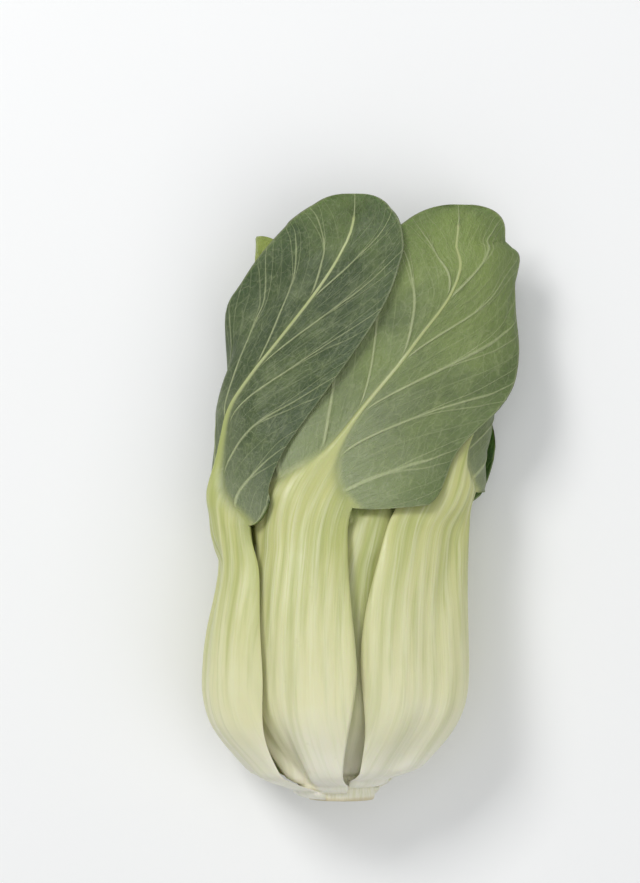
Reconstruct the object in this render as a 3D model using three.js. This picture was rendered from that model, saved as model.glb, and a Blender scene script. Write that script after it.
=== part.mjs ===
// A head of bok choy lying on its side: broad pale stalks set round a short stem, each carrying
// one green blade.  Millimetres.  +Y runs from the cut stem to the leaf tips, +Z is up, and the
// origin is at the middle of the head's footprint, on the surface that it lies on.
//
// The head is laid out first as an upright, round one: a turn about its axis, a rise along the
// axis and a radius out from it.  The leaves are wound on from the heart outwards, and each one
// settles on those inside it.  Then the whole head is pressed flatter and leant over, as one
// smooth bend of space, so leaves that were clear of each other stay clear.
import * as THREE from 'three';

// ---- The head ----
const HEAD_LENGTH = 242;        // from the cut face to the furthest leaf tip
const CORE_RADIUS = 13;         // the cut face of the stem
const CORE_HEIGHT = 30;
const CORE_TOP_RADIUS = 3.5;

const LEAF_GAP = 1.4;           // air between a leaf and those that it lies on
const SLIT = 0.5;               // between a blade and the rib that carries it
const BLADE_THICK = 1.5;        // before the head is pressed flat
const STALK_EDGE = 1.9;         // thickness of a stalk at its margins

const BULB_RISE = 48;           // where the stalks reach their full spread
const STRETCH = [1.04, 1.2];    // sideways: at the cut face, and in the rest of the head
const PRESS = [0.86, 0.76, 0.45]; // in height: at the cut face, in the stalks, in the blades
const STALK_PRESS_RISE = 24;
const BLADE_PRESS_RISES = [48, 165];
const AXIS_X = [-8.4, 1.6];     // where the head's axis lies: in the stalks, in the blades
const AXIS_Z = [30.95, 22.6];
const AXIS_RISES = [58, 180];   // where the axis bends from one to the other

// ---- The leaves, from the heart outwards ----
// turn: where the stalk stands round the head, in degrees from +X through +Z (up).
// lean: how far round the leaf swings, between the two rises of swing.
// root, neck, tip: rises of the stalk's foot, of the blade's foot and of the blade's tip.
// stalk, blade: half widths.  round, tipRound: how full the blade's foot and tip are, fullest at 0.5.
// skew: how much wider the blade is on the side that the turns run to.
// thick: of the stalk's middle.
// swell, flare: least radius inside the stalk, and how far out of that the tip stands.
const LEAVES = [
  { turn: 95, lean: -15, swing: [70, 150], root: 27, neck: 74, tip: 150,
    stalk: 7, blade: 18, round: 0.7, tipRound: 0.8, skew: 0, thick: 3.4, swell: 4, flare: 1 },
  { turn: 320, lean: -20, swing: [80, 172], root: 25, neck: 82, tip: 172,
    stalk: 9, blade: 22, round: 0.7, tipRound: 0.8, skew: 0, thick: 4.2, swell: 5, flare: 2 },
  { turn: 205, lean: -25, swing: [80, 190], root: 22, neck: 88, tip: 190,
    stalk: 12, blade: 27, round: 0.7, tipRound: 0.8, skew: 0, thick: 5.0, swell: 9, flare: 3 },
  { turn: 20, lean: -25, swing: [80, 204], root: 19, neck: 92, tip: 204,
    stalk: 15, blade: 31, round: 0.65, tipRound: 0.75, skew: 0, thick: 5.6, swell: 13, flare: 4 },
  { turn: 262, lean: -30, swing: [80, 212], root: 17, neck: 98, tip: 212,
    stalk: 17, blade: 34, round: 0.65, tipRound: 0.75, skew: 0, thick: 6.2, swell: 17, flare: 5 },
  { turn: 135, lean: -30, swing: [90, 220], root: 15, neck: 100, tip: 220,
    stalk: 18, blade: 36, round: 0.65, tipRound: 0.75, skew: 0, thick: 6.6, swell: 20, flare: 6 },
  { turn: 78, lean: -40, swing: [90, 224], root: 13, neck: 104, tip: 222,
    stalk: 19, blade: 38, round: 0.65, tipRound: 0.75, skew: 0, thick: 7.2, swell: 24, flare: 7 },
  { turn: 200, lean: -35, swing: [90, 216], root: 12, neck: 106, tip: 226,
    stalk: 20, blade: 38, round: 0.65, tipRound: 0.75, skew: 0, thick: 7.4, swell: 26, flare: 8 },
  { turn: 345, lean: -30, swing: [90, 224], root: 10, neck: 116, tip: 222,
    stalk: 22, blade: 39, round: 0.62, tipRound: 0.75, skew: 0, thick: 7.8, swell: 31, flare: 8 },
  { turn: 48, lean: -44, swing: [100, 228], root: 8.5, neck: 126, tip: 217,
    stalk: 23, blade: 41, round: 0.6, tipRound: 0.9, skew: 0, thick: 8.0, swell: 33, flare: 9 },
  { turn: 227, lean: -35, swing: [90, 224], root: 7, neck: 108, tip: 207,
    stalk: 21, blade: 40, round: 0.62, tipRound: 0.75, skew: 0, thick: 8.2, swell: 33, flare: 6 },
  { turn: 116, lean: -66, swing: [104, 230], root: 6.5, neck: 120, tip: 238,
    stalk: 25, blade: 44, round: 0.5, tipRound: 0.8, skew: 0, thick: 8.4, swell: 34, flare: 9 },
  { turn: 289, lean: -30, swing: [100, 230], root: 4, neck: 110, tip: 230,
    stalk: 22.5, blade: 40, round: 0.62, tipRound: 0.72, skew: 0, thick: 8.6, swell: 34.6, flare: 5 },
  { turn: 161, lean: -66, swing: [122, 238], root: 4, neck: 110, tip: 242,
    stalk: 25, blade: 29, round: 0.66, tipRound: 0.7, skew: 0.2, thick: 8.6, swell: 34, flare: 10 },
];
const FOOT_WIDTH = 0.52;        // of the stalk's greatest width
const NECK_WIDTH = 0.78;
const FOOT_LIFT = 2;            // how far a foot's corners may stand out, at the root
const FOOT_SLOPE = 2;           // and for each millimetre above it
const FOOT_THICK = 0.32;        // of the stalk's greatest thickness
const NECK_THICK = 0.55;
const RIB_REACH = 0.92;         // of the blade's length
const RIB_TAPER = 14;           // how fast the rib narrows above the neck
const RIB_EASE = 0.05;          // and how softly it begins to
const RIB_TIP = 0.6;            // half width of the rib's end
const VEIN_HEIGHT = 0.6;        // of the side veins that stand out of the blade's back

// ---- The mesh ----
const CORE_SIDES = 28;
const STALK_ROWS = 8;           // below the blade
const STALK_COLUMNS = 6;
const RIB_ROWS = 13;            // along the rib; the blade has a line out from each
const BLADE_STEPS = 4;          // from the rib to the margin
const FOOT_SWEEP = 0.18;        // how far up the margin the blade's foot line ends
const FOOT_CURVE = 2;           // how late that line turns up, to round the foot's corner
const SWEEP_SPREAD = 0.7;       // how fast the lines above it climb the margin
const RIB_SPREAD = 1.6;         // and how close together they leave the foot of the rib
const FULL_TURN = 2 * Math.PI;

const { smoothstep, lerp: mix, clamp, degToRad } = THREE.MathUtils;
const ease = (low, high, x) => smoothstep(x, low, high);
const share = (low, high, x) => clamp((x - low) / (high - low), 0, 1);
const larger = (a, b, soft) => 0.5 * (a + b + Math.sqrt((a - b) ** 2 + soft * soft));

// ---- The press: from the round, upright head to the one that lies down ----
function layDown(turn, radius, rise) {
  const stretch = mix(...STRETCH, ease(0, BULB_RISE, rise));
  const stalkPress = mix(PRESS[0], PRESS[1], ease(0, STALK_PRESS_RISE, rise));
  const press = mix(stalkPress, PRESS[2], ease(...BLADE_PRESS_RISES, rise));
  const bend = ease(...AXIS_RISES, rise);
  const x = stretch * radius * Math.cos(turn) + mix(...AXIS_X, bend);
  const z = press * radius * Math.sin(turn) + mix(...AXIS_Z, bend);
  return new THREE.Vector3(x, rise - HEAD_LENGTH / 2, Math.max(z, 0));
}

// Distance round the pressed head at radius 1, so that a leaf keeps its width wherever it stands.
const ROUND_STEPS = 720;
const roundTable = new Float64Array(ROUND_STEPS + 1);
for (let i = 1; i <= ROUND_STEPS; i++) {
  const turn = (i - 0.5) / ROUND_STEPS * FULL_TURN;
  const pace = Math.hypot(STRETCH[1] * Math.sin(turn), PRESS[1] * Math.cos(turn));
  roundTable[i] = roundTable[i - 1] + pace * FULL_TURN / ROUND_STEPS;
}
const FULL_ROUND = roundTable[ROUND_STEPS];

function roundAt(turn) {
  const whole = Math.floor(turn / FULL_TURN);
  const at = (turn / FULL_TURN - whole) * ROUND_STEPS;
  const i = Math.min(Math.floor(at), ROUND_STEPS - 1);
  return whole * FULL_ROUND + mix(roundTable[i], roundTable[i + 1], at - i);
}

function turnAt(round) {
  const whole = Math.floor(round / FULL_ROUND);
  const part = round - whole * FULL_ROUND;
  let low = 0;
  let high = ROUND_STEPS;
  while (high - low > 1) {
    const middle = (low + high) >> 1;
    if (roundTable[middle] > part) high = middle;
    else low = middle;
  }
  const within = (part - roundTable[low]) / (roundTable[high] - roundTable[low]);
  return (whole + (low + within) / ROUND_STEPS) * FULL_TURN;
}

// ---- The crown: how far out the head reaches so far, by turn and rise ----
const TURNS = 180;
const RISES = 126;
const RISE_STEP = 2;
const SPREAD = [5, 4];          // cells by which it is widened, in turn and rise, before it is softened
const SOFTEN = [[3, 2], [2, 2]]; // no more than SPREAD in all, so the result never dips inside it
const crown = new Float64Array(TURNS * RISES);
const cell = (i, j) => ((i % TURNS) + TURNS) % TURNS * RISES + clamp(j, 0, RISES - 1);

function filtered(source, reach, alongRise, start, combine) {
  return source.map((_, index) => {
    const i = Math.floor(index / RISES);
    const j = index % RISES;
    let value = start;
    for (let k = -reach; k <= reach; k++) {
      value = combine(value, source[alongRise ? cell(i, j + k) : cell(i + k, j)]);
    }
    return value;
  });
}

function widened(source, reach, alongRise) {
  return filtered(source, reach, alongRise, 0, Math.max);
}

function averaged(source, reach, alongRise) {
  return filtered(source, reach, alongRise, 0, (sum, value) => sum + value / (2 * reach + 1));
}

function softCrown() {
  let field = widened(widened(crown, SPREAD[0], false), SPREAD[1], true);
  for (const [turns, rises] of SOFTEN) {
    field = averaged(averaged(field, turns, false), rises, true);
  }
  return field;
}

function sample(field, turn, rise) {
  const x = turn / FULL_TURN * TURNS;
  const y = rise / RISE_STEP;
  const i = Math.floor(x);
  const j = Math.floor(y);
  return mix(mix(field[cell(i, j)], field[cell(i, j + 1)], y - j),
    mix(field[cell(i + 1, j)], field[cell(i + 1, j + 1)], y - j), x - i);
}

// ---- The stem ----
const coreRadius = (rise) => mix(CORE_RADIUS, CORE_TOP_RADIUS, share(0, CORE_HEIGHT, rise) ** 1.5);
for (let i = 0; i < TURNS; i++) {
  for (let j = 0; j < RISES; j++) {
    const above = (j + SPREAD[1]) * RISE_STEP;
    crown[i * RISES + j] = above < CORE_HEIGHT + RISE_STEP ? coreRadius(above) : 0;
  }
}

function coreGeometry() {
  const positions = [];
  const faces = [];
  const levels = [0, 0.5, 0.75, 1];
  for (const level of levels) {
    for (let i = 0; i < CORE_SIDES; i++) {
      const rise = level * CORE_HEIGHT;
      positions.push(...layDown(i / CORE_SIDES * FULL_TURN, coreRadius(rise), rise));
    }
  }
  for (let j = 0; j < levels.length - 1; j++) {
    for (let i = 0; i < CORE_SIDES; i++) {
      const a = j * CORE_SIDES + i;
      const b = j * CORE_SIDES + (i + 1) % CORE_SIDES;
      faces.push(a, a + CORE_SIDES, b, b, a + CORE_SIDES, b + CORE_SIDES);
    }
  }
  const top = (levels.length - 1) * CORE_SIDES;
  for (let i = 1; i < CORE_SIDES - 1; i++) {
    faces.push(0, i, i + 1, top, top + i + 1, top + i);
  }
  return closed(positions, faces);
}

// ---- One leaf ----
class Leaf {
  constructor(form, index) {
    Object.assign(this, form);
    this.index = index;
    this.bed = softCrown();
    this.length = this.tip - this.neck;
    this.ribEnd = this.neck + RIB_REACH * this.length;
  }

  centre(rise) {
    return degToRad(this.turn + this.lean * ease(...this.swing, rise));
  }

  // Half width of the stalk, and above the neck of the rib that it narrows into.
  ribHalf(rise) {
    if (rise > this.neck) {
      const on = (rise - this.neck) / (this.ribEnd - this.neck);
      const fan = NECK_WIDTH * this.stalk - RIB_TIP - 0.5;
      return fan * Math.exp(-RIB_TAPER * on * on / (on + RIB_EASE)) + RIB_TIP + 0.5 * (1 - on);
    }
    const up = share(this.root, this.neck, rise);
    const clasp = 1 - (1 - share(0, 0.42, up)) ** 1.8;
    return this.stalk * mix(FOOT_WIDTH, 1, clasp) * mix(1, NECK_WIDTH, ease(0.4, 1, up));
  }

  // Half width of the blade on one side: egg-shaped, with a broad round foot and a round tip.
  bladeHalf(rise, side) {
    const along = share(this.neck, this.tip, rise);
    const angle = Math.acos(1 - 2 * along);
    const egg = this.blade * Math.sin(angle) ** (along < 0.5 ? this.round : this.tipRound);
    return egg * (1 + this.skew * Math.max(side, 0) * ease(0.15, 0.7, along))
      + NECK_WIDTH * this.stalk * (1 - along) ** 6;
  }

  // Least radius of the leaf's inner side: its own growth, whatever it lies on.
  growth(rise) {
    const bulb = 1 - (1 - share(this.root, BULB_RISE, rise)) ** 2.4;
    const thinning = this.thick * (1 - NECK_THICK) * ease(0.3, 1, share(this.root, this.neck, rise));
    return mix(Math.min(0.34 * this.swell + 3, this.swell), this.swell, bulb) + thinning
      + this.flare * ease(this.neck - 20, this.tip, rise);
  }

  // Radius of the inner side, on whatever it lies on, and close to the stem again at the foot.
  innerAt(turn, rise) {
    const grown = this.growth(rise);
    const raised = larger(sample(this.bed, turn, rise) + LEAF_GAP, grown, 1.5);
    const reach = grown + FOOT_LIFT + FOOT_SLOPE * Math.max(rise - this.root, 0);
    return -larger(-raised, -reach, 1.5);
  }

  // Thickness: a crescent in the stalk, then a thin blade with the rib standing out of its back.
  thickness(across, rise) {
    const out = Math.min(Math.abs(across) / this.ribHalf(rise), 1);
    const up = share(this.root, this.neck, rise);
    const crest = (1 - out ** 2.2) ** mix(1, 1.5, ease(0.75, 1, up));
    if (rise > this.neck) {
      const on = (rise - this.neck) / (this.ribEnd - this.neck);
      const ridge = (this.thick * NECK_THICK - STALK_EDGE) * Math.exp(-2.4 * on) + 0.5 * (1 - on);
      return mix(STALK_EDGE, BLADE_THICK, ease(0, 0.35, on)) + ridge * crest;
    }
    const middle = this.thick * mix(FOOT_THICK, 1, ease(0, 0.28, up))
      * mix(1, NECK_THICK, ease(0.3, 1, up));
    return STALK_EDGE + (middle + 0.5 * ease(0.8, 1, up) - STALK_EDGE) * crest;
  }

  // How far the blade waves out from its inner side: ripples that grow towards the margin.
  ripple(across, rise) {
    const along = share(this.neck, this.tip, rise);
    const half = this.bladeHalf(rise, Math.sign(across));
    const out = Math.min(Math.abs(across) / Math.max(half, 4), 1);
    const wave = 0.5 + 0.5 * Math.sin(along * 12 + this.index * 2.4 + (across > 0 ? 1.7 : 0));
    return 0.075 * this.blade * wave * out ** 3 * ease(0, 0.12, along);
  }

  // A point of the leaf, laid out square to its own leaning midrib.
  point(across, rise, outer, vein = 0) {
    const middle = this.centre(rise);
    const radius = this.innerAt(middle, rise) + 0.3 * this.thick;
    const slope = radius * (this.centre(rise + 1) - this.centre(rise - 1)) / 2;
    const tilt = 0.8 * Math.atan(slope) * ease(this.neck - 60, this.neck + 30, rise);
    const reach = clamp(across * Math.cos(tilt) / radius, -2.2, 2.2);
    const turn = turnAt(roundAt(middle) + reach);
    const level = clamp(rise - across * Math.sin(tilt), this.root, HEAD_LENGTH);
    const inner = this.innerAt(turn, level) + this.ripple(across, rise);
    return [turn, inner + (outer ? this.thickness(across, rise) + vein : 0), level];
  }

  // Raises the crown wherever this leaf lies.
  settle() {
    const rows = 140;
    const columns = 80;
    for (let j = 0; j <= rows; j++) {
      const rise = mix(this.root, this.tip, j / rows);
      for (let i = 0; i <= columns; i++) {
        const out = 2 * i / columns - 1;
        const half = rise < this.neck ? this.ribHalf(rise) : this.bladeHalf(rise, Math.sign(out));
        const [turn, radius, level] = this.point(out * half, rise, true, VEIN_HEIGHT);
        const at = cell(Math.round(turn / FULL_TURN * TURNS), Math.round(level / RISE_STEP));
        crown[at] = Math.max(crown[at], radius);
      }
    }
  }
}

// ---- Closed shells ----
function closed(positions, faces) {
  const geometry = new THREE.BufferGeometry();
  geometry.setAttribute('position', new THREE.Float32BufferAttribute(positions, 3));
  geometry.setIndex(faces);
  geometry.computeVertexNormals();
  return geometry;
}

// A sheet of rows by columns cells with an outer and an inner side, joined round its edge.
// Both sides are split along the same diagonals.
function shell(rows, columns, place) {
  const positions = [];
  for (const outer of [true, false]) {
    for (let j = 0; j <= rows; j++) {
      for (let i = 0; i <= columns; i++) positions.push(...layDown(...place(j, i, outer)));
    }
  }
  const side = (rows + 1) * (columns + 1);
  const at = (j, i) => j * (columns + 1) + i;
  const faces = [];
  for (let j = 0; j < rows; j++) {
    for (let i = 0; i < columns; i++) {
      const [a, b, c, d] = [at(j, i), at(j, i + 1), at(j + 1, i + 1), at(j + 1, i)];
      faces.push(a, c, b, a, d, c);
      faces.push(a + side, b + side, c + side, a + side, c + side, d + side);
    }
  }
  const rim = [];
  for (let i = 0; i < columns; i++) rim.push(at(0, i));
  for (let j = 0; j < rows; j++) rim.push(at(j, columns));
  for (let i = columns; i > 0; i--) rim.push(at(rows, i));
  for (let j = rows; j > 0; j--) rim.push(at(j, 0));
  rim.forEach((here, k) => {
    const next = rim[(k + 1) % rim.length];
    faces.push(here, next, next + side, here, next + side, here + side);
  });
  return closed(positions, faces);
}

// Rises of the rib's rows, which the blade's inner edge shares.
const ribRise = (leaf, row) => mix(leaf.neck, leaf.ribEnd, (row / RIB_ROWS) ** RIB_SPREAD);

function stalkGeometry(leaf) {
  return shell(STALK_ROWS + RIB_ROWS, STALK_COLUMNS, (j, i, outer) => {
    const rise = j < STALK_ROWS
      ? mix(leaf.root, leaf.neck, (j / STALK_ROWS) ** 1.2)
      : ribRise(leaf, j - STALK_ROWS);
    return leaf.point((2 * i / STALK_COLUMNS - 1) * leaf.ribHalf(rise), rise, outer);
  });
}

// The blade's lines run out from the rib to the margin as its side veins do: first the lines of
// one half, from the foot up, then the line on to the tip, then the other half's, down to the foot.
function bladeGeometry(leaf) {
  const lines = RIB_ROWS + 1;
  return shell(2 * lines, BLADE_STEPS, (j, i, outer) => {
    const line = lines - Math.abs(j - lines);
    const side = Math.sign(lines - j);
    const t = i / BLADE_STEPS;
    const from = line > RIB_ROWS ? leaf.ribEnd + 3 * SLIT : ribRise(leaf, line);
    const sweep = mix(FOOT_SWEEP, 1, (line / lines) ** SWEEP_SPREAD);
    const to = leaf.neck + leaf.length * (1 - Math.cos(Math.PI * sweep)) / 2;
    const edge = leaf.ribHalf(Math.min(from, leaf.ribEnd)) + SLIT;
    const across = side * mix(edge, leaf.bladeHalf(to, side), t);
    const vein = line % 2 ? VEIN_HEIGHT * (1 - t) : 0;
    const curve = mix(FOOT_CURVE, 0.8, ease(0, 0.2, line / lines));
    return leaf.point(across, mix(from, to, t ** curve), outer, vein);
  });
}

// ---- The head of leaves ----
const stalkFinish = new THREE.MeshStandardMaterial({ color: 0xd2d39a, roughness: 0.45 });
const bladeFinish = new THREE.MeshStandardMaterial({ color: 0x5d6e42, roughness: 0.55 });
const coreFinish = new THREE.MeshStandardMaterial({ color: 0xe6e2c4, roughness: 0.6 });

function add(name, geometry, finish) {
  const mesh = new THREE.Mesh(geometry, finish);
  mesh.name = name;
  head.add(mesh);
}

const head = new THREE.Group();
add('core', coreGeometry(), coreFinish);

LEAVES.forEach((form, index) => {
  const leaf = new Leaf(form, index);
  leaf.settle();
  const name = `leaf_${String(LEAVES.length - index).padStart(2, '0')}`;
  add(`${name}_stalk`, stalkGeometry(leaf), stalkFinish);
  add(`${name}_blade`, bladeGeometry(leaf), bladeFinish);
});

export default head;
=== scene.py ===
import math

import bpy
import numpy as np
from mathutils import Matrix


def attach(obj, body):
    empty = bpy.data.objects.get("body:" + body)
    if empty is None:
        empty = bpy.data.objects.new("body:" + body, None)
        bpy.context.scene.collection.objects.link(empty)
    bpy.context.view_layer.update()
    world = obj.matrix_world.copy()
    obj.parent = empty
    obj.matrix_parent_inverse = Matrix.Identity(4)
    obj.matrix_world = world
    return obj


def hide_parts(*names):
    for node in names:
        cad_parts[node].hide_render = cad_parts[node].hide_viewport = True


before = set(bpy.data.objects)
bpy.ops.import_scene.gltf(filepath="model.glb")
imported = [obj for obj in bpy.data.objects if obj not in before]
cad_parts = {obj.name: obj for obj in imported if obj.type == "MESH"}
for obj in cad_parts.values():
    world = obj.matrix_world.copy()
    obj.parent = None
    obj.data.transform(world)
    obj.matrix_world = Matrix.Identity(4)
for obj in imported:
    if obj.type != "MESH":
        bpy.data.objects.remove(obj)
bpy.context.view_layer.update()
print("frame loaded,", len(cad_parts), "solids")

mm = 0.001
fullTurn = 2 * math.pi

# The head is laid out upright and round (turn, radius and rise, in mm), then pressed flat and
# laid down.
head = dict(
    length=242,
    stretch=(1.04, 1.2),           # sideways, at the cut face and in the rest
    press=(0.86, 0.76, 0.45),      # in height: cut face, stalks, blades
    bulbRise=48,
    stalkPressRise=24,
    bladePressRises=(48, 165),
    axisX=(-8.4, 1.6),
    axisZ=(30.95, 22.6),
    axisRises=(58, 180),
    gap=1.4,                       # air between a leaf and those under it
)
stem = dict(
    radius=13, height=30, topRadius=3.5,
    around=144, faceRings=30, sideRings=24, topRings=4,
    dish=0.9,                      # how far the cut face sinks
    sawMarks=0.12, sawPitch=(1.1, 5.2),
    lumps=0.6, lumpPitches=(12, 4),
    bevel=0.8, bevelRise=0.8,
)
leafForm = dict(
    footWidth=0.52, footLift=2, footSlope=2, neckWidth=0.78, footThick=0.32, neckThick=0.55,
    claspRise=0.42, claspCurve=1.8,    # how the stalk widens over its foot
    footSwell=(0.34, 3),               # share of the swell, and mm, that the foot has already
    stalkEdge=1.9, bladeThick=1.5,
    crescent=2.2,                      # power of the stalk's cross-section
    ripple=0.075, rippleTurns=12,      # depth as a share of the blade, and how often
    tiltShare=0.8,                     # how far a blade turns with its leaning midrib
    bulbCurve=2.4, flareFrom=-20,      # power of the bulb, and mm from the neck to the flare
    ridgeFall=2.4,                     # how fast the midrib thins towards the tip
    bedSoft=1.5,                       # mm over which a leaf eases on to the one under it
    ribReach=0.92, ribTip=0.6, ribTaper=14, ribEase=0.05,
    footSweep=0.18, footCurve=2, sweepSpread=0.7, ribShare=13 / 14, ribSpread=1.6,
    veinHeight=0.6,
)

# From the heart outwards.  turn and lean in degrees, rises and sizes in mm, shade darker below 0.
leafKeys = ("turn", "lean", "swing", "root", "neck", "tip", "stalk", "blade", "round", "tipRound",
            "skew", "thick", "swell", "flare", "shade")
leaves = [dict(zip(leafKeys, row)) for row in (
    (95, -15, (70, 150), 27, 74, 150, 7, 18, 0.7, 0.8, 0, 3.4, 4, 1, 0.1),
    (320, -20, (80, 172), 25, 82, 172, 9, 22, 0.7, 0.8, 0, 4.2, 5, 2, 0),
    (205, -25, (80, 190), 22, 88, 190, 12, 27, 0.7, 0.8, 0, 5.0, 9, 3, 0.05),
    (20, -25, (80, 204), 19, 92, 204, 15, 31, 0.65, 0.75, 0, 5.6, 13, 4, 0),
    (262, -30, (80, 212), 17, 98, 212, 17, 34, 0.65, 0.75, 0, 6.2, 17, 5, -0.05),
    (135, -30, (90, 220), 15, 100, 220, 18, 36, 0.65, 0.75, 0, 6.6, 20, 6, 0),
    (78, -40, (90, 224), 13, 104, 222, 19, 38, 0.65, 0.75, 0, 7.2, 24, 7, 0.05),
    (200, -35, (90, 216), 12, 106, 226, 20, 38, 0.65, 0.75, 0, 7.4, 26, 8, 0.3),
    (345, -30, (90, 224), 10, 116, 222, 22, 39, 0.62, 0.75, 0, 7.8, 31, 8, -0.1),
    (48, -44, (100, 228), 8.5, 126, 217, 23, 41, 0.6, 0.9, 0, 8.0, 33, 9, 0),
    (227, -35, (90, 224), 7, 108, 207, 21, 40, 0.62, 0.75, 0, 8.2, 33, 6, -0.12),
    (116, -66, (104, 230), 6.5, 120, 238, 25, 44, 0.5, 0.8, 0, 8.4, 34, 9, 0.12),
    (289, -30, (100, 230), 4, 110, 230, 22.5, 40, 0.62, 0.72, 0, 8.6, 34.6, 5, 0),
    (161, -66, (122, 238), 4, 110, 242, 25, 29, 0.66, 0.7, 0.2, 8.6, 34, 10, -0.14),
)]


def mix(low, high, t):
    return low + (high - low) * t


def share(low, high, x):  # how far x is from low to high, 0 to 1
    return np.clip((np.asarray(x, float) - low) / (high - low), 0, 1)


def ease(low, high, x):  # the same with soft ends, 3t^2 - 2t^3
    t = share(low, high, x)
    return t * t * (3 - 2 * t)


def larger(a, b, soft):  # the larger of two, rounded where they meet
    return 0.5 * (a + b + np.sqrt((a - b) ** 2 + soft * soft))


def waves(seed, a, b, pitch, count=7):
    # soft unevenness, about -1 to 1: a sum of seeded sines that run all ways across (a, b)
    rng = np.random.default_rng(seed)
    total = 0
    for _ in range(count):
        way, phase = rng.uniform(0, fullTurn), rng.uniform(0, fullTurn)
        size = rng.uniform(0.7, 1.5)
        along = a * math.cos(way) + b * math.sin(way)
        total = total + np.sin(along * fullTurn / (pitch * size) + phase)
    return total / math.sqrt(count) / 1.4


def layDown(turn, radius, rise):
    # x = stretch radius cos(turn) + axisX, z = press radius sin(turn) + axisZ,
    # y = rise - half length
    stretch = mix(*head["stretch"], ease(0, head["bulbRise"], rise))
    first, second, third = head["press"]
    press = mix(mix(first, second, ease(0, head["stalkPressRise"], rise)), third,
                ease(*head["bladePressRises"], rise))
    bend = ease(*head["axisRises"], rise)
    x = stretch * radius * np.cos(turn) + mix(*head["axisX"], bend)
    z = press * radius * np.sin(turn) + mix(*head["axisZ"], bend)
    return np.stack([x, rise - head["length"] / 2 + 0 * x, np.maximum(z, 0)], -1) * mm


# Distance round the pressed head at radius 1: the running sum of hypot(stretch sin, press cos).
roundSteps = 720
stepTurns = (np.arange(roundSteps) + 0.5) / roundSteps * fullTurn
pace = np.hypot(head["stretch"][1] * np.sin(stepTurns), head["press"][1] * np.cos(stepTurns))
roundTable = np.concatenate([[0], np.cumsum(pace) * fullTurn / roundSteps])
turnTable = np.linspace(0, fullTurn, roundSteps + 1)
fullRound = roundTable[-1]


def roundAt(turn):
    whole = np.floor(turn / fullTurn)
    return whole * fullRound + np.interp(turn - whole * fullTurn, turnTable, roundTable)


def turnAt(distance):
    whole = np.floor(distance / fullRound)
    return whole * fullTurn + np.interp(distance - whole * fullRound, roundTable, turnTable)


# The crown says how far out the head reaches so far, on a grid of turn by rise.
crownSize = dict(turns=180, rises=126, step=2.0, spread=(5, 4), soften=((3, 2), (2, 2)))


def neighbours(field, reach, axis):  # the field shifted by -reach to reach cells, stacked
    pads = [(reach, reach) if k == axis else (0, 0) for k in (0, 1)]
    padded = np.pad(field, pads, mode="wrap" if axis == 0 else "edge")
    count = field.shape[axis]
    return np.stack([np.take(padded, range(k, k + count), axis) for k in range(2 * reach + 1)])


def softCrown():
    field = neighbours(crown, crownSize["spread"][0], 0).max(0)
    field = neighbours(field, crownSize["spread"][1], 1).max(0)
    for turns, rises in crownSize["soften"]:
        field = neighbours(neighbours(field, turns, 0).mean(0), rises, 1).mean(0)
    return field


def sample(field, turn, rise):
    # a cubic B-spline through the grid, so that none of its cells shows in a leaf
    x = turn / fullTurn * crownSize["turns"]
    y = rise / crownSize["step"]
    i, j = np.floor(x).astype(int), np.floor(y).astype(int)

    def weights(f):
        return ((1 - f) ** 3 / 6, (3 * f ** 3 - 6 * f ** 2 + 4) / 6,
                (-3 * f ** 3 + 3 * f ** 2 + 3 * f + 1) / 6, f ** 3 / 6)

    total = 0
    for di, wx in enumerate(weights(x - i)):
        for dj, wy in enumerate(weights(y - j)):
            turns = (i + di - 1) % crownSize["turns"]
            rises = np.clip(j + dj - 1, 0, crownSize["rises"] - 1)
            total = total + wx * wy * field[turns, rises]
    return total


def coreRadius(rise):
    return mix(stem["radius"], stem["topRadius"], share(0, stem["height"], rise) ** 1.5)


crownRises = (np.arange(crownSize["rises"]) + crownSize["spread"][1]) * crownSize["step"]
startRow = np.where(crownRises < stem["height"] + crownSize["step"], coreRadius(crownRises), 0.0)
crown = np.tile(startRow, (crownSize["turns"], 1))


def centreAt(leaf, rise):
    return np.radians(leaf["turn"] + leaf["lean"] * ease(*leaf["swing"], rise))


def ribEnd(leaf):
    return leaf["neck"] + leafForm["ribReach"] * (leaf["tip"] - leaf["neck"])


def onRib(leaf, rise):
    return share(leaf["neck"], ribEnd(leaf), rise)


def ribHalf(leaf, rise):
    # half width of the stalk, widest at 0.4 of its height, and of the rib that it narrows into
    on = np.maximum(rise - leaf["neck"], 0) / (ribEnd(leaf) - leaf["neck"])
    fan = leafForm["neckWidth"] * leaf["stalk"] - leafForm["ribTip"] - 0.5
    narrowing = leafForm["ribTaper"] * on * on / (on + leafForm["ribEase"])
    rib = fan * np.exp(-narrowing) + leafForm["ribTip"] + 0.5 * (1 - on)
    up = share(leaf["root"], leaf["neck"], rise)
    clasp = 1 - (1 - share(0, leafForm["claspRise"], up)) ** leafForm["claspCurve"]
    stalk = (leaf["stalk"] * mix(leafForm["footWidth"], 1, clasp)
             * mix(1, leafForm["neckWidth"], ease(0.4, 1, up)))
    return np.where(rise > leaf["neck"], rib, stalk)


def bladeHalf(leaf, rise, side):
    # half width = blade sin(angle)^round, the angle going from 0 at the blade's foot to pi at its
    # tip, and a last share of the neck's width
    along = share(leaf["neck"], leaf["tip"], rise)
    sine = np.maximum(np.sin(np.arccos(1 - 2 * along)), 0)
    egg = leaf["blade"] * sine ** np.where(along < 0.5, leaf["round"], leaf["tipRound"])
    return (egg * (1 + leaf["skew"] * np.maximum(side, 0) * ease(0.15, 0.7, along))
            + leafForm["neckWidth"] * leaf["stalk"] * (1 - along) ** 6)


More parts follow.
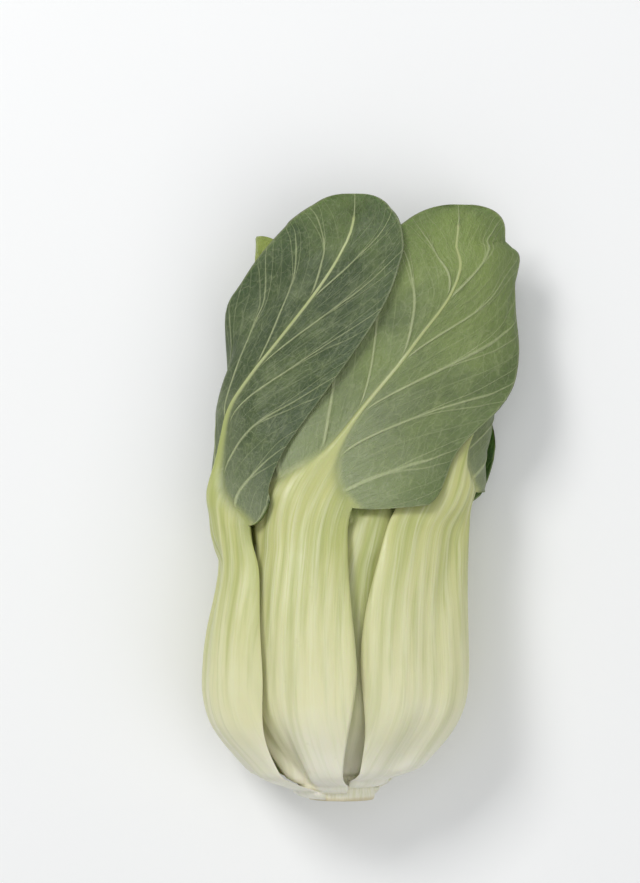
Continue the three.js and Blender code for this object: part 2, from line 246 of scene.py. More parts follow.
def growth(leaf, rise):  # least radius of the leaf's inner side: the bulb, then the flare
    bulb = 1 - (1 - share(leaf["root"], head["bulbRise"], rise)) ** leafForm["bulbCurve"]
    thinning = (leaf["thick"] * (1 - leafForm["neckThick"])
                * ease(0.3, 1, share(leaf["root"], leaf["neck"], rise)))
    started, extra = leafForm["footSwell"]
    foot = min(started * leaf["swell"] + extra, leaf["swell"])
    return (mix(foot, leaf["swell"], bulb) + thinning
            + leaf["flare"] * ease(leaf["neck"] + leafForm["flareFrom"], leaf["tip"], rise))


def innerAt(leaf, turn, rise):
    # the larger of the bed plus the gap and the leaf's own growth, kept close to the stem at
    # the foot: at most growth + lift + slope times the height above the root
    grown = growth(leaf, rise)
    raised = larger(sample(leaf["bed"], turn, rise) + head["gap"], grown, leafForm["bedSoft"])
    above = np.maximum(rise - leaf["root"], 0)
    reach = grown + leafForm["footLift"] + leafForm["footSlope"] * above
    return -larger(-raised, -reach, leafForm["bedSoft"])


def thickness(leaf, across, rise):
    # stalk: a crescent, edge + middle (1 - out^crescent), softer at the neck
    # blade: a sheet with the rib on its back
    up = share(leaf["root"], leaf["neck"], rise)
    crest = 1 - np.minimum(np.abs(across) / ribHalf(leaf, rise), 1) ** leafForm["crescent"]
    crest = crest ** mix(1, 1.5, ease(0.75, 1, up))
    on = np.maximum(rise - leaf["neck"], 0) / (ribEnd(leaf) - leaf["neck"])
    edge = leafForm["stalkEdge"]
    ridge = leaf["thick"] * leafForm["neckThick"] - edge
    ridge = ridge * np.exp(-leafForm["ridgeFall"] * on) + 0.5 * (1 - on)
    blade = mix(edge, leafForm["bladeThick"], ease(0, 0.35, on)) + ridge * crest
    middle = (leaf["thick"] * mix(leafForm["footThick"], 1, ease(0, 0.28, up))
              * mix(1, leafForm["neckThick"], ease(0.3, 1, up)))
    stalk = edge + (middle + 0.5 * ease(0.8, 1, up) - edge) * crest
    return np.where(rise > leaf["neck"], blade, stalk)


def ripple(leaf, across, rise):
    # waves towards the margin: depth (1 + sin(rippleTurns along + phase)) / 2 out^3
    along = share(leaf["neck"], leaf["tip"], rise)
    out = np.minimum(np.abs(across) / np.maximum(bladeHalf(leaf, rise, np.sign(across)), 4), 1)
    turns, sidePhase = leafForm["rippleTurns"], np.where(across > 0, 1.7, 0)
    wave = 0.5 + 0.5 * np.sin(along * turns + leaf["index"] * 2.4 + sidePhase)
    return leafForm["ripple"] * leaf["blade"] * wave * out ** 3 * ease(0, 0.12, along)


def leafPlace(leaf, across, rise):
    # turn, radius and rise of the leaf's inner side, laid out square to its own leaning midrib
    middle = centreAt(leaf, rise)
    radius = innerAt(leaf, middle, rise) + 0.3 * leaf["thick"]
    slope = radius * (centreAt(leaf, rise + 1) - centreAt(leaf, rise - 1)) / 2
    turning = ease(leaf["neck"] - 60, leaf["neck"] + 30, rise)
    tilt = leafForm["tiltShare"] * np.arctan(slope) * turning
    reach = np.clip(across * np.cos(tilt) / radius, -2.2, 2.2)
    turn = turnAt(roundAt(middle) + reach)
    level = np.clip(rise - across * np.sin(tilt), leaf["root"], head["length"])
    return turn, innerAt(leaf, turn, level) + ripple(leaf, across, rise), level


def settle(leaf):  # raises the crown wherever this leaf lies
    rise = np.linspace(leaf["root"], leaf["tip"], 141)[:, None]
    out = np.linspace(-1, 1, 81)[None, :]
    half = np.where(rise < leaf["neck"], ribHalf(leaf, rise), bladeHalf(leaf, rise, np.sign(out)))
    across = out * half
    rise = rise + 0 * across
    turn, radius, level = leafPlace(leaf, across, rise)
    radius = radius + thickness(leaf, across, rise) + leafForm["veinHeight"]
    i = np.round(turn / fullTurn * crownSize["turns"]).astype(int) % crownSize["turns"]
    j = np.clip(np.round(level / crownSize["step"]).astype(int), 0, crownSize["rises"] - 1)
    np.maximum.at(crown, (i, j), radius)


def folds(turn, rise):
    # depth in mm, 0 to about 3, shared by the leaves that lie on each other: soft hollows, sum of
    # sin(k turn + rise / length + phase), and creases where a slower sum of that kind crosses zero
    rng = np.random.default_rng(5)

    def summed(count, low, high):
        total = 0
        for _ in range(count):
            total = total + np.sin(rng.integers(1, 5) * turn * rng.choice((-1, 1))
                                   + rise / rng.uniform(low, high) + rng.uniform(0, fullTurn))
        return total / math.sqrt(count)

    hollow = 0.5 + 0.36 * summed(6, 6, 14)
    crease = np.exp(-(summed(5, 9, 20) / 0.16) ** 2) * ease(-0.2, 0.9, summed(4, 12, 30))
    return np.clip(hollow, 0, 1.2) * leafMesh["hollow"] + crease * leafMesh["crease"]


def meshFrom(name, points, faces):
    mesh = bpy.data.meshes.new(name)
    mesh.from_pydata(points.tolist(), [], faces)
    mesh.polygons.foreach_set("use_smooth", np.ones(len(mesh.polygons), bool))
    mesh.update()
    piece = bpy.data.objects.new(name, mesh)
    bpy.context.scene.collection.objects.link(piece)
    return piece


def note(piece, **fields):  # keeps arrays on the mesh's points, for its finish to read
    for name, values in fields.items():
        values = np.asarray(values, np.float32)
        kind, key = ("FLOAT_VECTOR", "vector") if values.ndim == 2 else ("FLOAT", "value")
        piece.data.attributes.new(name, kind, "POINT").data.foreach_set(key, values.ravel())


def quads(grid):  # four-cornered faces over a grid of point numbers
    corners = [grid[:-1, :-1], grid[:-1, 1:], grid[1:, 1:], grid[1:, :-1]]
    return np.stack(corners, -1).reshape(-1, 4)


leafMesh = dict(
    footRows=7, stalkRows=54, columns=44, steps=34,
    veins=6,                       # side veins on each half
    # rows from one side vein to the next, closer beside the veins
    lines=(0, 0.035, 0.075, 0.15, 0.27, 0.41, 0.5, 0.59, 0.73, 0.85, 0.925, 0.965),
    stalkSpread=1.1, lineCurve=0.8,
    footDrop=3.5, footHold=1.5,    # depth of the foot, and how far it ends inside the stem
    ridge=0.3, ridgePitch=5.2,     # long ribs down a stalk's back
    ridgeBase=1.95,                # how many of their heights the back sinks for them
    ribDrop=0.4,                   # how far the rib is lowered on the upper blade
    rim=0.32,                      # share of the thickness taken off each face at a free margin
    vein=0.5, quilt=0.45,          # side veins, and how far the blade swells between them
    veinWidth=0.07,                # as a share of their spacing
    veinFront=0.2, quiltFront=0.6,  # on the other side: the veins, and a share of the swelling
    hollow=1.5, crease=0.7,        # folds in the blades, on the outer leaves
    edgeLead=9, startWaves=3,      # how much sooner the green starts at a stalk's edges, unevenly
    patternStep=31.0, patternHalves=1.5,  # sets each leaf's veins, and its halves', apart
)


def leafPiece(leaf, name):
    # Two grids share the rib's edge.  One has the foot, stalk and rib, rows by columns.  The other
    # has the blade, whose lines run out from the rib as the side veins do:
    # across = mix(edge, half(to), t) and rise = mix(from, to, t^curve).
    size = leafMesh
    footRows, columns = size["footRows"], size["columns"]
    steps, veins = size["steps"], size["veins"]
    lines = np.array(size["lines"])
    phases = np.append((np.arange(veins)[:, None] + lines).ravel(), veins)
    neckRow = footRows + size["stalkRows"]
    stalkShare = (np.arange(size["stalkRows"]) / size["stalkRows"]) ** size["stalkSpread"]
    stalkRises = mix(leaf["root"], leaf["neck"], stalkShare)
    ribRises = mix(leaf["neck"], ribEnd(leaf), (phases / veins) ** leafForm["ribSpread"])
    rises = np.concatenate([np.full(footRows, leaf["root"]), stalkRises, ribRises])
    stripRise = np.repeat(rises[:, None], columns + 1, 1)
    stripAcross = ribHalf(leaf, rises)[:, None] * np.linspace(-1, 1, columns + 1)
    strip = np.arange(stripRise.size).reshape(stripRise.shape)

    # round the blade's margin: from the foot on one side, past the tip, to the foot on the other
    half = columns // 2
    beyond = leafForm["ribShare"]
    q = np.append(phases / veins * beyond, mix(beyond, 1, np.arange(1, half + 1) / half))
    side = np.concatenate([np.ones(len(q) - 1), [0], -np.ones(len(q) - 1)])
    q = np.append(q, q[-2::-1])
    seam = np.concatenate([strip[neckRow:, -1], strip[-1, -2::-1], strip[-2:neckRow - 1:-1, 0]])
    stripPhase = np.repeat(np.append(np.zeros(neckRow), phases)[:, None], columns + 1, 1)
    stripPhase.ravel()[seam] = q / beyond * veins
    sweep = mix(leafForm["footSweep"], 1, q ** leafForm["sweepSpread"])
    to = leaf["neck"] + (leaf["tip"] - leaf["neck"]) * (1 - np.cos(math.pi * sweep)) / 2
    t = (np.arange(1, steps + 1) / steps)[None, :]
    curve = mix(leafForm["footCurve"], size["lineCurve"], ease(0, 0.2, q))[:, None]
    bladeRise = mix(stripRise.ravel()[seam][:, None], to[:, None], t ** curve)
    margin = side * bladeHalf(leaf, to, side)
    bladeAcross = mix(stripAcross.ravel()[seam][:, None], margin[:, None], t)
    blade = strip.size + np.arange(bladeRise.size).reshape(bladeRise.shape)
    sheet = np.concatenate([seam[:, None], blade], 1)

    across = np.append(stripAcross, bladeAcross)
    rise = np.append(stripRise, bladeRise)
    phase = np.append(stripPhase, np.repeat(q / beyond * veins, steps))
    t = np.append(np.zeros(strip.size), (t + 0 * bladeRise))
    onBlade = t > 0
    count = len(rise)
    turn, inner, level = leafPlace(leaf, across, rise)
    thick = thickness(leaf, across, rise)
    lowered = size["ribDrop"] * ease(0.1, 0.6, onRib(leaf, rise))
    thick = mix(thick, np.minimum(thick, leafForm["bladeThick"]), lowered)
    inRib = np.minimum(np.abs(across) / ribHalf(leaf, rise), 1)
    up = share(leaf["root"], leaf["neck"], rise)

    # relief: side veins, swellings between them, ribs down the stalk, loose waves in the blade
    off = np.abs(phase - np.round(phase))
    lastVein = 1 - ease(veins - 0.7, veins - 0.4, phase)
    vein = np.exp(-(off / size["veinWidth"]) ** 2) * (1 - t) ** 0.7
    vein = vein * ease(0, 0.06, t) * lastVein
    swell = np.sin(math.pi * off) ** 2 * np.sin(math.pi * t ** 0.75) ** 2
    ribs = 0.5 + 0.5 * np.cos(across / size["ridgePitch"] * fullTurn + leaf["index"])
    ribs = ribs * ease(0.02, 0.25, up) * (1 - inRib ** 8)
    ribs = ribs * (1 - ease(-6, 26, rise - leaf["neck"])) * ~onBlade
    inner = inner - (folds(turn, level) * ease(leaf["neck"] - 10, leaf["neck"] + 45, rise)
                     * np.minimum(inner / 36, 1))
    outer = (inner + thick + size["vein"] * vein + size["quilt"] * swell
             + size["ridge"] * (ribs - size["ridgeBase"]) * ease(0, 0.1, up))
    inner = inner + size["quiltFront"] * size["quilt"] * swell + size["veinFront"] * vein

    # free margins are thinned and rounded
    rim = np.where(onBlade, ease(0.93, 1, t),
                   ease(0.9, 1, inRib) * (1 - ease(leaf["neck"] - 9, leaf["neck"], rise)))
    outer, inner = outer - size["rim"] * thick * rim, inner + size["rim"] * thick * rim

    # the foot turns in under the leaves above it and ends inside the stem
    fold = np.zeros(count)
    fold[:footRows * (columns + 1)] = np.repeat(1 - np.arange(footRows) / footRows, columns + 1)
    hold = coreRadius(leaf["root"]) - size["footHold"]
    outer = hold + (outer - hold) * np.cos(fold * math.pi / 2)
    inner = mix(inner, hold, fold)
    low = level - size["footDrop"] * np.sin(fold * math.pi / 2)
    points = np.concatenate([layDown(turn, outer, low), layDown(turn, inner, level)])

    outward = np.concatenate([quads(strip), quads(sheet)])[:, ::-1]
    loop = np.concatenate([strip[:neckRow, -1], sheet[0], sheet[1:, -1], sheet[-1, -2::-1],
                           strip[neckRow - 1::-1, 0], strip[0, 1:-1]])
    following = np.roll(loop, -1)
    wall = np.stack([loop, following, following + count, loop + count], -1)
    faces = np.concatenate([outward, outward[:, ::-1] + count, wall])
    piece = meshFrom(name, points, faces.tolist())

    # where the green starts: over the neck, first along the stalk's edges, and full close beside
    # the rib
    end = ribEnd(leaf)
    beside = np.abs(across) - ribHalf(leaf, np.minimum(rise, end))
    beside = beside + 0.8 * np.maximum(rise - end, 0)
    start = rise - leaf["neck"] + size["edgeLead"] * (inRib - 0.7)
    start = start + size["startWaves"] * waves(leaf["index"] + 50, across, rise, 9)
    edgeGreen = mix(0.5, 0.9, ease(0, 0.3, onRib(leaf, rise)))
    onStalk = ease(-10, 14, start) * ease(0.3, 1, inRib) ** 2 * edgeGreen
    atSeam = np.append(onStalk[:strip.size], np.repeat(onStalk[seam], steps))
    fullGreen = mix(7, 1.8, ease(0, 2.2, phase))
    green = mix(atSeam, 1, np.where(onBlade, ease(-0.4, fullGreen, beside), 0))
    offset = np.full(count, size["patternStep"] * leaf["index"])
    # the halves of a blade get different veins, and meet in the same ones past the rib's end
    sideways = size["patternHalves"] * np.sign(across)
    sideways = sideways * (1 - share(veins, phases[-1] / beyond, phase))
    fields = dict(green=green, up=up, along=share(leaf["neck"], leaf["tip"], rise),
                  shade=np.full(count, leaf["shade"]), onRib=onRib(leaf, rise), ribs=ribs,
                  place=np.stack([across, rise, offset], -1) * mm,
                  sheet=np.stack([phase, t, offset + sideways], -1))
    note(piece, back=np.repeat([1.0, 0.0], count),
         **{key: np.concatenate([values, values]) for key, values in fields.items()})
    return piece


leafPieces = []
for index, leaf in enumerate(leaves):
    leaf["index"] = index
    leaf["bed"] = softCrown()
    settle(leaf)
    number = f"{len(leaves) - index:02d}"
    piece = leafPiece(leaf, "leaf" + number)
    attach(piece, "root")
    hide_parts(f"leaf_{number}_stalk", f"leaf_{number}_blade")
    leafPieces.append(piece)
print("leaves done,", sum(len(piece.data.polygons) for piece in leafPieces) * 2, "triangles")


def stemPiece():
    # one surface of turn by profile: out over the cut face, up the side and in over the top
    faceShare = np.linspace(0, 1, stem["faceRings"] + 1)[1:]
    sideShare = np.linspace(0, 1, stem["sideRings"] + 1)[1:] ** 2
    topShare = np.linspace(1, 0, stem["topRings"] + 1)[1:-1]
    profile = np.concatenate([faceShare, np.ones(len(sideShare)), topShare])
    sideRise = stem["height"] * sideShare
    rise = np.concatenate([0 * faceShare, sideRise, 0 * topShare + stem["height"]])
    outline = np.concatenate([0 * faceShare + stem["radius"], coreRadius(sideRise),
                              0 * topShare + stem["topRadius"]])
    turn = (np.arange(stem["around"]) / stem["around"] * fullTurn)[:, None]
    onFace = np.concatenate([np.ones(len(faceShare)), np.zeros(len(sideShare) + len(topShare))])
    radius = profile * outline * np.ones_like(turn)
    x, z = radius * np.cos(turn), radius * np.sin(turn)
    # the lumps are read round a ring, so they meet where the turn ends
    ring = stem["radius"] * np.cos(turn), stem["radius"] * np.sin(turn) + 0.6 * rise
    wide, narrow = stem["lumpPitches"]
    lump = (waves(90, *ring, wide) + 0.4 * waves(92, *ring, narrow)) * stem["lumps"]
    lump = lump * np.where(onFace > 0, profile ** 3, 1)
    lump = lump - stem["bevel"] * np.exp(-rise / stem["bevelRise"]) * profile ** 12
    dish = stem["dish"] * (1 - profile ** 4) + 0.35 * ease(0.9, 1, profile)
    slant, pitch = stem["sawPitch"]
    marks = stem["sawMarks"] * (1 + np.sin(x * slant + z * pitch + 2 * waves(91, x, z, 12)))
    level = rise + onFace * (dish + marks * (1 - ease(0.9, 1, profile))) + 0 * turn
    body = layDown(turn + 0 * radius, radius + lump, level)
    ends = layDown(np.zeros(2), np.zeros(2), np.array([stem["dish"], stem["height"]]))
    points = np.concatenate([body.reshape(-1, 3), ends])
    grid = np.arange(radius.size).reshape(radius.shape)
    grid = np.concatenate([grid, grid[:1]])
    first, last = radius.size, radius.size + 1
    caps = [np.stack([grid[:-1, 0], grid[1:, 0], 0 * grid[1:, 0] + first], -1),
            np.stack([grid[1:, -1], grid[:-1, -1], 0 * grid[1:, 0] + last], -1)]
    piece = meshFrom("cutStem", points, quads(grid).tolist() + np.concatenate(caps).tolist())
    middles = [[0, 0, 0], [0, 0, stem["height"]]]
    place = np.concatenate([np.stack([x, z, level], -1).reshape(-1, 3), middles])
    note(piece, distance=np.append(radius / stem["radius"], [0, 0]),
         face=np.append(onFace + 0 * radius, [1, 0]), place=place * mm)
    return piece


stemTop = stemPiece()
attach(stemTop, "root")
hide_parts("core")
print("stem done")


class Reading:
    # wraps a socket, so that shader sums read as plain sums
    def __init__(self, finish, socket):
        self.finish = finish
        self.socket = socket

    def math(self, operation, *values, **settings):
        return self.finish.node("Math", dict(operation=operation, **settings), *values)

    def __add__(self, other):
        return self.math("ADD", self, other)

    def __sub__(self, other):
        return self.math("SUBTRACT", self, other)

    def __rsub__(self, other):
        return self.math("SUBTRACT", other, self)

    def __mul__(self, other):
        return self.math("MULTIPLY", self, other)

    def __abs__(self):
        return self.math("ABSOLUTE", self)

    __radd__ = __add__
    __rmul__ = __mul__

    def atLeast(self, other):
        return self.math("MAXIMUM", self, other)

    def between(self, low, high):  # 0 at low to 1 at high, with soft ends
        soft = dict(interpolation_type="SMOOTHSTEP")
        return self.finish.node("MapRange", soft, self, low, high)


class Finish:
    def __init__(self, name):
        self.material = bpy.data.materials.new(name)
        self.material.use_nodes = True
        self.tree = self.material.node_tree
        self.tree.nodes.clear()

    def node(self, kind, settings=None, *values, output=0, **named):
        made = self.tree.nodes.new("ShaderNode" + kind)
        for key, value in (settings or {}).items():
            if key == "stops":
                ramp = made.color_ramp
                while len(ramp.elements) < len(value):
                    ramp.elements.new(1)
                for element, (place, colour) in zip(ramp.elements, value):
                    element.position, element.color = place, colour
            else:
                setattr(made, key, value)
        wanted = [(made.inputs[k], value) for k, value in enumerate(values) if value is not None]
        wanted += [(made.inputs[key.replace("_", " ")], value) for key, value in named.items()]
        for socket, value in wanted:
            if isinstance(value, Reading):
                self.tree.links.new(value.socket, socket)
            else:
                socket.default_value = value
        return Reading(self, made.outputs[output]) if made.outputs else made

    def field(self, name, vector=False):
        return self.node("Attribute", dict(attribute_name=name), output=1 if vector else 2)

    def part(self, vector, axis):
        return self.node("SeparateXYZ", None, vector, output=axis)

    def scaled(self, vector, *factors):
        return self.node("VectorMath", dict(operation="MULTIPLY"), vector, factors)

    def noise(self, vector, scale, detail=3, roughness=0.55, distortion=0):
        return self.node("TexNoise", dict(), Vector=vector, Scale=scale, Detail=detail,
                         Roughness=roughness, Distortion=distortion)

    def warped(self, vector, scale, amount):  # the vector pushed about by a noise
        push = self.node("TexNoise", dict(), Vector=vector, Scale=scale, Detail=2, output=1)
        push = self.node("VectorMath", dict(operation="SUBTRACT"), push, (0.5, 0.5, 0.5))
        added = dict(operation="MULTIPLY_ADD")
        return self.node("VectorMath", added, push, (amount,) * 3, vector)

    def net(self, vector, scale, width):  # 1 on the lines between cells
        toEdge = dict(feature="DISTANCE_TO_EDGE")
        edge = self.node("TexVoronoi", toEdge, Vector=vector, Scale=scale)
        return edge.between(width, width * 0.25)

    def blend(self, factor, first, second):
        return self.node("Mix", dict(data_type="RGBA"), factor, None, None, None, None, None,
                         first, second, output=2)

    def surface(self, **named):
        shader = self.node("BsdfPrincipled", None, **named)
        self.node("OutputMaterial", None, shader)
        return self.material

    def bumped(self, height):  # height in mm
        return self.node("Bump", None, Distance=mm, Height=height)


def tone(red, green, blue):  # a colour as picked on screen, 0 to 255
    channels = [c / 255 for c in (red, green, blue)]
    linear = [c / 12.92 if c <= 0.04045 else ((c + 0.055) / 1.055) ** 2.4 for c in channels]
    return (*linear, 1)


leafLook = dict(
    backDark=tone(64, 80, 46), backLight=tone(120, 134, 84), backGrey=tone(118, 128, 100),
    backFresh=tone(138, 156, 82),  # towards the tip
    backPale=tone(160, 168, 132),  # by the neck
    backMarginShade=tone(70, 88, 54),      # painted shade, darker by the margin
    frontDark=tone(30, 56, 20), frontLight=tone(66, 98, 34),
    backVein=tone(180, 188, 142), frontVein=tone(124, 152, 78),
    butt=tone(243, 240, 222), low=tone(228, 225, 180), high=tone(199, 200, 132),
    rib=tone(180, 187, 134), streak=tone(160, 170, 92), crest=tone(234, 233, 196),
    fleck=tone(140, 118, 66),
    rough=0.34, backRough=0.45,    # stalks and upper sides, and the blades' backs
    young=0.0,                     # how far the greens turn towards the yellow of the heart
    youngTone=tone(178, 190, 66),
    veinWidth=(0.072, 0.02),       # foot and crest of a vein, in spacings of the side veins
    forkWidth=(0.042, 0.01), weakWidth=(0.035, 0.008),
    forkAt=0.36, forkSpread=0.42,  # how far out the veins fork, and how widely
    bump=dict(                     # heights in mm
        vein=0.3, weakVein=0.12, net=0.05, fineNet=0.025,
        grain=0.05, mottle=0.3, cloud=0.8, pucker=0.65,
        threads=0.10, bands=0.24, stalkGrain=0.018,
    ),
    bend=1.42,                     # of light
    glow=0.12, glowReach=(0.6, 1.0, 0.25), glowDepth=0.002,  # light that sinks in
)


def leafFinish(name, **changes):
    look = {**leafLook, **changes}
    bump = look["bump"]
    f = Finish(name)
    green, up, along, shade = [f.field(name) for name in ("green", "up", "along", "shade")]
    back, onRib, ribs = [f.field(name) for name in ("back", "onRib", "ribs")]
    place, sheet = f.field("place", vector=True), f.field("sheet", vector=True)
    across, phase, t = f.part(place, 0), f.part(sheet, 0), f.part(sheet, 1)

    # veins of the blade: the side veins fork, weaker ones run between them, and a net joins them
    wobble = (f.noise(sheet, 1.6, 2) - 0.5) * 0.3 * t
    off = abs((phase + wobble).math("PINGPONG", phase + wobble, 0.5))
    thin = 1 - 0.7 * t
    lastVein = leafMesh["veins"]
    kept = phase.between(lastVein - 0.4, lastVein - 0.7)  # none where the rib ends
    foot, crest = look["veinWidth"]
    main = off.between(foot * thin, crest * thin) * (1 - 0.45 * t) * kept
    forkAt = look["forkAt"]
    branch = abs(off - ((t - forkAt).atLeast(0) * look["forkSpread"]))
    foot, crest = look["forkWidth"]
    fork = branch.between(foot * thin, crest) * t.between(forkAt, forkAt + 0.08)
    fork = fork * (1 - 0.4 * t) * kept
    foot, crest = look["weakWidth"]
    between = (0.5 - off).between(foot * thin, crest) * t.between(0.06, 0.3)
    bent = f.warped(f.scaled(sheet, 1, 4.6, 1), 1.3, 0.7)
    ladder = f.net(bent, 2.1, 0.05)
    mesh = f.net(f.warped(place, 180, 0.003), 300, 0.09)
    fine = f.net(place, 760, 0.12)
    pucker = f.noise(f.scaled(sheet, 3.4, 2.2, 1), 2.4, 3, 0.55) - 0.5
    tipVein = abs(across).between(0.0006 * thin, 0.0001)
    onSheet = t.between(0, 0.03)
    strong = main.atLeast(fork * 0.6).atLeast(tipVein) * onSheet
    weak = (between * 0.45).atLeast(ladder * 0.3) * onSheet

    broad = f.noise(place, 42, 3)
    mottle = f.noise(place, 240, 4, 0.6)
    grain = f.noise(place, 1500, 3, 0.6)
    cloud = f.noise(f.warped(place, 60, 0.02), 70, 4, 0.6)
    patch = (broad * 0.6 + mottle * 0.25 + cloud * 0.15 + shade).between(0.3, 0.72)
    backGreen = f.blend(patch, look["backDark"], look["backLight"])
    backGreen = f.blend(cloud.between(0.5, 0.75) * 0.3, backGreen, look["backGrey"])
    fresh = (along + (broad - 0.5) * 0.7 + shade * 1.5).between(0.45, 1.15)
    backGreen = f.blend(fresh * 0.6, backGreen, look["backFresh"])
    pale = (along + (broad - 0.5) * 0.8 + t * 0.25).between(0.55, 0.05)
    backGreen = f.blend(pale * 0.4, backGreen, look["backPale"])
    # painted shade: the blade's back darkens towards its margin, where it curves away
    marginShade = (t + (broad - 0.5) * 0.6).between(0.45, 1.05)
    backGreen = f.blend(marginShade * 0.4, backGreen, look["backMarginShade"])
    backGreen = f.blend(strong * 0.7 + weak * 0.4 + mesh * 0.07, backGreen, look["backVein"])
    frontGreen = f.blend(patch, look["frontDark"], look["frontLight"])
    frontGreen = f.blend(strong * 0.7 + weak * 0.35 + mesh * 0.08, frontGreen, look["frontVein"])
    blade = f.blend(back, frontGreen, backGreen)
    blade = f.blend(t.between(0.97, 1) * 0.35, blade, look["backVein"])
    flecks = f.noise(place, 420, 2, 0.5).between(0.735, 0.78)
    flecks = flecks * f.noise(place, 60, 2).between(0.5, 0.62)
    blade = f.blend(flecks * 0.4, blade, look["fleck"])
    blade = f.blend(look["young"], blade, look["youngTone"])

    # stalk: white at its foot, greener upwards, with long streaks
    threads = f.noise(f.scaled(place, 1, 0.03, 1), 1100, 3, 0.6)
    bands = f.noise(f.scaled(place, 1, 0.05, 1), 330, 3, 0.55)
    wide = f.noise(f.scaled(place, 1, 0.12, 1), 110, 2, 0.5)
    height = (up + (broad - 0.5) * 0.25).atLeast(0)
    stops = [(0.0, look["butt"]), (0.3, look["low"]), (0.85, look["high"]), (1.0, look["high"])]
    stalk = f.node("ValToRGB", dict(stops=stops), height)
    stalk = f.blend(onRib.between(0, 0.5), stalk, look["rib"])
    stalk = f.blend(wide.between(0.42, 0.66) * 0.55 * up, stalk, look["streak"])
    stalk = f.blend(bands.between(0.45, 0.7) * (0.14 + 0.5 * up) * back, stalk, look["streak"])
    stalk = f.blend(ribs * 0.5 * threads.between(0.3, 0.65), stalk, look["crest"])
    stalk = f.blend(threads.between(0.56, 0.74) * 0.35 * up, stalk, look["streak"])
    bruise = f.noise(place, 130, 3, 0.6).between(0.66, 0.76) * (1 - up * 0.6)
    stalk = f.blend(bruise * 0.14, stalk, look["fleck"])
    colour = f.blend(green, stalk, blade)

    outward = back * 2 - 1
    sheetRelief = (outward * (strong * bump["vein"] + weak * bump["weakVein"]
                              + mesh * bump["net"] + fine * bump["fineNet"])
                   + (grain - 0.5) * bump["grain"] + (mottle - 0.5) * bump["mottle"]
                   + (cloud - 0.5) * bump["cloud"] + pucker * bump["pucker"] * onSheet)
    stalkRelief = ((threads - 0.5) * bump["threads"] + (bands - 0.5) * bump["bands"]
                   + (grain - 0.5) * bump["stalkGrain"])
    # both reliefs are about 0, so no step shows between them
    relief = green * sheetRelief + (1 - green) * stalkRelief
    duller = look["backRough"] - look["rough"]
    rough = green * back * duller + look["rough"] + (mottle - 0.5) * 0.2
    return f.surface(Base_Color=colour, Roughness=rough, Normal=f.bumped(relief),
                     IOR=look["bend"], Subsurface_Weight=look["glow"],
                     Subsurface_Radius=look["glowReach"], Subsurface_Scale=look["glowDepth"])


stemLook = dict(
    face=tone(240, 234, 208), faceDark=tone(224, 218, 178), ring=tone(190, 180, 116),
    rim=tone(196, 172, 122), dry=tone(188, 156, 104),
    side=tone(241, 238, 218), sideStreak=tone(214, 214, 168), sideRim=tone(192, 168, 118),
    rough=0.5,
    ringAt=0.74, ringWidth=(0.12, 0.03),  # where the ring of vessels lies on the cut face
    bump=dict(grain=0.08, cloud=0.4, ring=0.12, streaks=0.4),  # in mm
    bend=1.4,                      # of light
    glow=0.15, glowReach=(1.0, 0.9, 0.5), glowDepth=0.002,
)


def stemFinish():
    f, look, bump = Finish("cutStem"), stemLook, stemLook["bump"]
    place, distance, face = f.field("place", vector=True), f.field("distance"), f.field("face")
    cloud = f.noise(place, 170, 4, 0.6)
    grain = f.noise(place, 1300, 3, 0.6)
    ring = abs(distance - look["ringAt"] + (cloud - 0.5) * 0.12).between(*look["ringWidth"])
    dots = f.node("TexVoronoi", dict(feature="F1"), Vector=place, Scale=640).between(0.42, 0.2)
    colour = f.blend(cloud.between(0.35, 0.7), look["face"], look["faceDark"])
    colour = f.blend(ring * (0.35 + dots * 0.5), colour, look["ring"])
    colour = f.blend(distance.between(0.86, 1.0) * 0.55, colour, look["rim"])
    dry = f.noise(place, 90, 4, 0.65).between(0.52, 0.74)
    colour = f.blend(dry * 0.5, colour, look["dry"])
    streaks = f.noise(f.scaled(place, 1, 1, 0.12), 900, 3, 0.6)
    side = f.blend(streaks.between(0.4, 0.7) * 0.5, look["side"], look["sideStreak"])
    byCut = f.part(place, 2).between(0.0022, 0.0002)
    side = f.blend(byCut * (0.3 + cloud * 0.6), side, look["sideRim"])
    colour = f.blend(face, side, colour)
    relief = (grain * bump["grain"] + cloud * bump["cloud"] - ring * dots * bump["ring"]
              + (1 - face) * streaks * bump["streaks"])
    return f.surface(Base_Color=colour, Roughness=look["rough"] + (cloud - 0.5) * 0.3,
                     Normal=f.bumped(relief), IOR=look["bend"], Subsurface_Weight=look["glow"],
                     Subsurface_Radius=look["glowReach"], Subsurface_Scale=look["glowDepth"])


outerFinish = leafFinish("outerLeaf")
innerFinish = leafFinish("innerLeaf", young=0.35)
heartFinish = leafFinish("heartLeaf", young=0.5, high=tone(214, 220, 150))
heartLeaves, innerLeaves = 3, 8    # the first so many, counted from the heart
for index, piece in enumerate(leafPieces):
    heart = index < heartLeaves
    around = innerFinish if index < innerLeaves else outerFinish
    piece.data.materials.append(heartFinish if heart else around)
stemTop.data.materials.append(stemFinish())
print("finishes done")

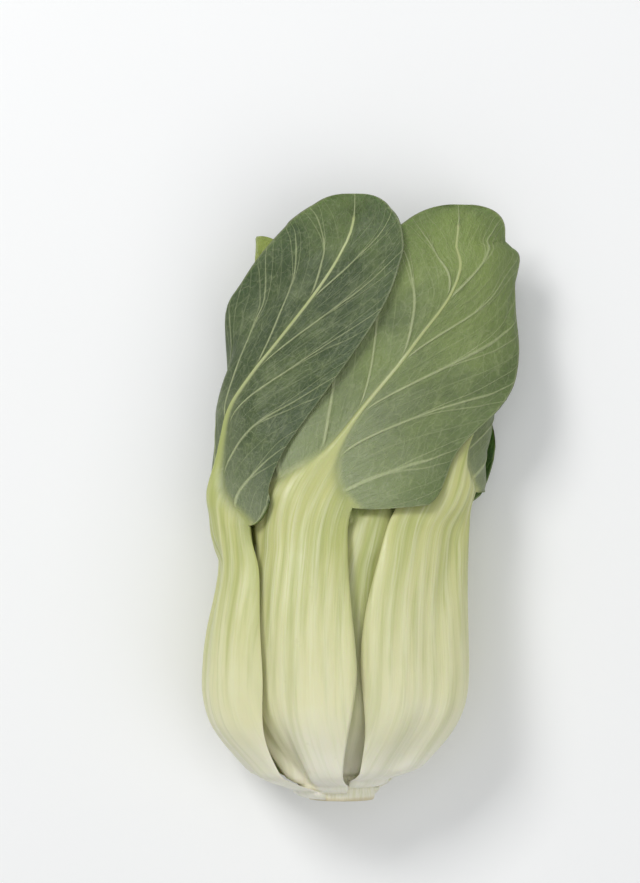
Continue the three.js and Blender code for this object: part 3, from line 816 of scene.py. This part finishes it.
studio = dict(
    floorSize=4.0, floorTone=tone(253, 253, 252), floorShade=tone(246, 246, 244),
    worldTone=tone(240, 243, 247), worldStrength=0.42,
    # name, place, size (m) and power (W) of each soft light
    lights=(("key", (-0.8, 0.9, 1.3), 0.6, 14), ("fill", (0.9, -0.5, 1.3), 1.1, 4),
            ("top", (0.1, 0.1, 1.9), 1.4, 6)),
    aimRise=0.03,                  # the lights aim at this height over the middle of the view
    cameraRise=1.535, viewMiddle=(-0.0173, 0.0224), frameHeight=0.3532, cameraFrom=1.5,
    sensor=36, clipEnd=20,
)


def addFloor():
    size = studio["floorSize"] / 2
    corners = np.array([(-1, -1, 0), (1, -1, 0), (1, 1, 0), (-1, 1, 0)]) * size
    floor = meshFrom("floor", corners, [[0, 1, 2, 3]])
    f = Finish("floor")
    coords = f.node("TexCoord", None, output=3)
    cloud = f.noise(coords, 6, 3)
    colour = f.blend(cloud * 0.3, studio["floorTone"], studio["floorShade"])
    floor.data.materials.append(f.surface(Base_Color=colour, Roughness=0.8))


def addLights():
    for name, place, size, power in studio["lights"]:
        lamp = bpy.data.lights.new(name, "AREA")
        lamp.size, lamp.energy = size, power
        light = bpy.data.objects.new(name, lamp)
        light.location = place
        aim = np.array(studio["viewMiddle"] + (studio["aimRise"],)) - np.array(place)
        light.rotation_euler = (math.atan2(math.hypot(aim[0], aim[1]), -aim[2]), 0,
                                math.atan2(-aim[0], aim[1]))
        bpy.context.scene.collection.objects.link(light)
    world = bpy.data.worlds.new("studio")
    bpy.context.scene.world = world
    world.use_nodes = True
    sky = world.node_tree.nodes["Background"]
    sky.inputs["Color"].default_value = studio["worldTone"]
    sky.inputs["Strength"].default_value = studio["worldStrength"]


def addCamera():
    view = bpy.data.cameras.new("view")
    view.sensor_width = view.sensor_height = studio["sensor"]
    view.lens = studio["sensor"] * studio["cameraFrom"] / studio["frameHeight"]
    view.clip_end = studio["clipEnd"]
    camera = bpy.data.objects.new("view", view)
    camera.location = (*studio["viewMiddle"], studio["cameraRise"])
    bpy.context.scene.collection.objects.link(camera)
    bpy.context.scene.camera = camera
    bpy.context.scene.view_settings.view_transform = "Standard"  # keeps tones as picked


addFloor()
addLights()
addCamera()
print("studio done")
